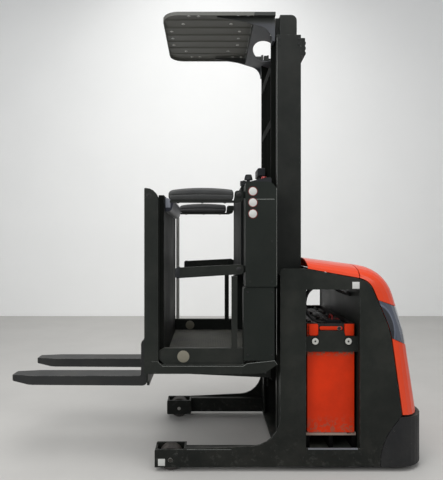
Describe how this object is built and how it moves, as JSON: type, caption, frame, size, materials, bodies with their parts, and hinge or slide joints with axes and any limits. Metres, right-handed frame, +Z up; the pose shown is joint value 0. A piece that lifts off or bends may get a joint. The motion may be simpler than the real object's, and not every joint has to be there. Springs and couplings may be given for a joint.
{
  "type": "order picker truck",
  "caption": "Electric stand-on order picker with a cab and forks that rise together on a mast, under an overhead guard, with a battery bay and a steered drive wheel.",
  "frame": {"origin": "middle of the overall footprint, on the floor under the wheels", "axes": "+X from the fork tips to the drive end, +Y to the far side of the picture, +Z up"},
  "size_m": [2.541, 1.102, 2.757],
  "materials": {
    "charcoal_paint": "satin charcoal paint",
    "guard_paint": "matt dark grey paint",
    "plate_paint": "satin grey paint",
    "cover_orange": "gloss orange paint",
    "battery_orange": "satin orange-red coating",
    "black_plastic": "matt textured black",
    "console_paint": "satin charcoal moulding",
    "gloss_black": "gloss black",
    "bright_steel": "worn bright steel",
    "cast_iron": "oiled dark iron",
    "wheel_tread": "worn brown polyurethane",
    "arm_grey": "soft grey foam skin",
    "tray_grey": "light grey moulding",
    "mat_rubber": "ribbed rubber mat",
    "stop_red": "gloss red",
    "cable_black": "black sheath"
  },
  "bodies": {
    "chassis": {"side_frame_left": "charcoal_paint", "side_frame_right": "charcoal_paint", "load_axle_left": "bright_steel", "load_axle_right": "bright_steel", "chassis_frame": "charcoal_paint", "battery": "battery_orange", "battery_bed": "bright_steel", "battery_lock_left": "charcoal_paint", "battery_lock_right": "charcoal_paint", "battery_cable_1": "cable_black", "battery_cable_2": "cable_black", "battery_connector": "black_plastic", "bumper_skirt": "black_plastic", "mast_channel_left": "charcoal_paint", "mast_channel_right": "charcoal_paint", "lift_barrel_left": "charcoal_paint", "lift_barrel_right": "charcoal_paint", "mast_tie_top": "charcoal_paint", "mast_tie_middle": "charcoal_paint"},
    "inner_mast": {"inner_channel_left": "charcoal_paint", "inner_channel_right": "charcoal_paint", "lift_rod_left": "bright_steel", "lift_rod_right": "bright_steel", "inner_mast_head": "charcoal_paint", "inner_mast_tie": "charcoal_paint", "lift_chain_left": "cast_iron", "lift_chain_right": "cast_iron"},
    "cab": {"cab_rear_frame": "charcoal_paint", "overhead_guard": "guard_paint", "guard_support": "plate_paint", "platform_frame": "charcoal_paint", "platform_mat": "mat_rubber", "front_post_left": "charcoal_paint", "front_post_right": "charcoal_paint", "front_wall": "charcoal_paint", "document_tray": "tray_grey", "grab_bar": "tray_grey", "console_cabinet": "black_plastic", "console_lower": "console_paint", "console_side_left": "console_paint", "console_side_right": "console_paint", "control_panel": "black_plastic", "stop_button": "stop_red", "fork_carriage": "charcoal_paint", "fork_left": "charcoal_paint", "fork_right": "charcoal_paint"},
    "gate_left": {"gate_arm_left": "charcoal_paint", "armrest_pad_left": "arm_grey"},
    "gate_right": {"gate_arm_right": "charcoal_paint", "armrest_pad_right": "arm_grey"},
    "gate_link_left": {"gate_bar_left": "charcoal_paint"},
    "gate_link_right": {"gate_bar_right": "charcoal_paint"},
    "hood": {"battery_hood": "cover_orange"},
    "door": {"rear_door": "cover_orange", "rear_door_insert": "gloss_black"},
    "drive_unit": {"drive_gearbox": "cast_iron", "traction_motor": "charcoal_paint"},
    "steered_wheel": {"drive_wheel": "wheel_tread"},
    "load_roller_left": {"load_wheel_left": "wheel_tread"},
    "load_roller_right": {"load_wheel_right": "wheel_tread"}
  },
  "joints": [
    {"name": "mast_lift", "type": "slide", "parent": "chassis", "child": "inner_mast", "axis": [0, 0, 1], "range_m": [-0.2, 1.4]},
    {"name": "cab_lift", "type": "slide", "parent": "inner_mast", "child": "cab", "axis": [0, 0, 1], "range_m": [-0.2, 1.4]},
    {"name": "hood_hinge", "type": "hinge", "parent": "chassis", "child": "hood", "pos_m": [0.862, 0, 1.215], "axis": [0, 1, 0], "range_deg": [0, 70]},
    {"name": "door_hinge", "type": "hinge", "parent": "chassis", "child": "door", "pos_m": [1.111, 0.4905, 0.6], "axis": [0, 0, 1], "range_deg": [0, 100]},
    {"name": "steering", "type": "hinge", "parent": "chassis", "child": "drive_unit", "pos_m": [1.03, 0, 0.44], "axis": [0, 0, 1], "range_deg": [-90, 90]},
    {"name": "drive_spin", "type": "hinge", "parent": "drive_unit", "child": "steered_wheel", "pos_m": [1.03, 0, 0.125], "axis": [0, 1, 0], "continuous": true},
    {"name": "gate_hinge_left", "type": "hinge", "parent": "cab", "child": "gate_left", "pos_m": [0.15, -0.525, 1.62], "axis": [0, 1, 0], "range_deg": [0, 75]},
    {"name": "gate_link_hinge_left", "type": "hinge", "parent": "cab", "child": "gate_link_left", "pos_m": [0.15, -0.525, 1.19], "axis": [0, 1, 0], "range_deg": [0, 75]},
    {"name": "load_spin_left", "type": "hinge", "parent": "chassis", "child": "load_roller_left", "pos_m": [-0.248, -0.426, 0.07], "axis": [0, 1, 0], "continuous": true},
    {"name": "gate_hinge_right", "type": "hinge", "parent": "cab", "child": "gate_right", "pos_m": [0.15, 0.525, 1.62], "axis": [0, 1, 0], "range_deg": [0, 75]},
    {"name": "gate_link_hinge_right", "type": "hinge", "parent": "cab", "child": "gate_link_right", "pos_m": [0.15, 0.525, 1.19], "axis": [0, 1, 0], "range_deg": [0, 75]},
    {"name": "load_spin_right", "type": "hinge", "parent": "chassis", "child": "load_roller_right", "pos_m": [-0.248, 0.426, 0.07], "axis": [0, 1, 0], "continuous": true}
  ],
  "couplings": [
    {"joint": "cab_lift", "follows": "mast_lift", "ratio": 1},
    {"joint": "gate_link_hinge_left", "follows": "gate_hinge_left", "ratio": 1},
    {"joint": "gate_link_hinge_right", "follows": "gate_hinge_right", "ratio": 1}
  ]
}
